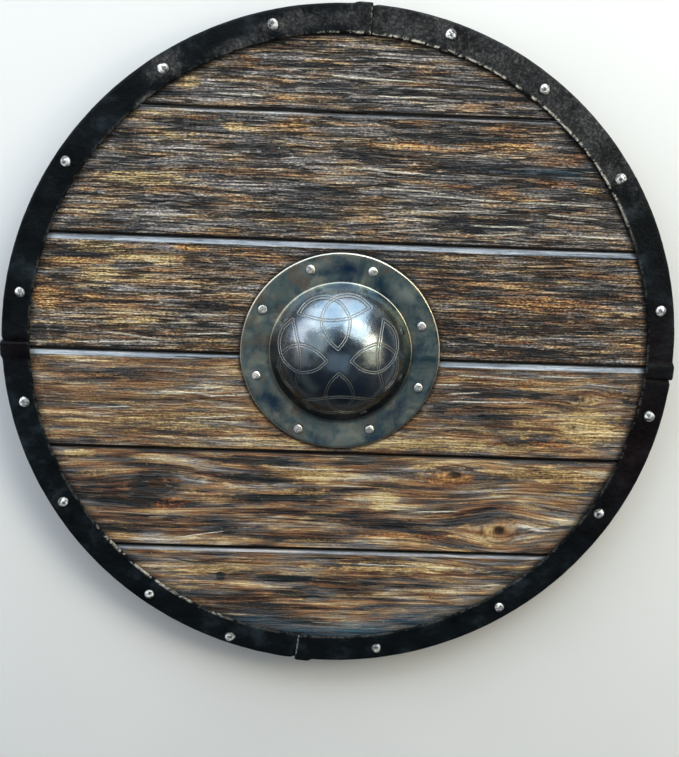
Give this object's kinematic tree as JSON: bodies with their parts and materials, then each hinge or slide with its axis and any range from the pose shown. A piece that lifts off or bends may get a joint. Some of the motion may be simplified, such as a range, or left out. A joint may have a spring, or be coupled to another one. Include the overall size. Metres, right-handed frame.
{
  "type": "round wooden shield",
  "caption": "Round shield of joined planks with a riveted leather rim, a domed steel boss engraved with knots over the hand hole, and a wooden grip bar behind.",
  "frame": {"origin": "under the middle of the shield, on the surface it lies on, at the level of the grip bar's flat back", "axes": "+Z out of the shield's face through the boss, +Y towards the shield's top edge, X along the planks"},
  "size_m": [0.613, 0.6124, 0.0766],
  "materials": {
    "planks": "dark stained and waxed softwood, brushed grain, worn through to tan",
    "rim_leather": "thick black leather, semi-gloss, rubbed grey in places",
    "rivet_steel": "bright hammered rivet heads",
    "boss_steel": "ground and oiled sheet steel with a faint blue-green tint",
    "grip_wood": "plain oiled wood",
    "nail_iron": "dark forged nails"
  },
  "bodies": {
    "root": {"plank_1": "planks", "plank_2": "planks", "plank_3": "planks", "plank_4": "planks", "plank_5": "planks", "plank_6": "planks", "rim_strip_1": "rim_leather", "rim_strip_2": "rim_leather", "rim_strip_3": "rim_leather", "rim_strip_4": "rim_leather", "rim_rivet_01": "rivet_steel", "rim_rivet_02": "rivet_steel", "rim_rivet_03": "rivet_steel", "rim_rivet_04": "rivet_steel", "rim_rivet_05": "rivet_steel", "rim_rivet_06": "rivet_steel", "rim_rivet_07": "rivet_steel", "rim_rivet_08": "rivet_steel", "rim_rivet_09": "rivet_steel", "rim_rivet_10": "rivet_steel", "rim_rivet_11": "rivet_steel", "rim_rivet_12": "rivet_steel", "rim_rivet_13": "rivet_steel", "rim_rivet_14": "rivet_steel", "rim_rivet_15": "rivet_steel", "rim_rivet_16": "rivet_steel", "boss_rivet_1": "rivet_steel", "boss_rivet_2": "rivet_steel", "boss_rivet_3": "rivet_steel", "boss_rivet_4": "rivet_steel", "boss_rivet_5": "rivet_steel", "boss_rivet_6": "rivet_steel", "boss_rivet_7": "rivet_steel", "boss_rivet_8": "rivet_steel", "boss": "boss_steel", "grip_bar": "grip_wood", "grip_nail_1": "nail_iron", "grip_nail_2": "nail_iron", "grip_nail_3": "nail_iron", "grip_nail_4": "nail_iron", "grip_nail_5": "nail_iron", "grip_nail_6": "nail_iron"}
  },
  "joints": []
}
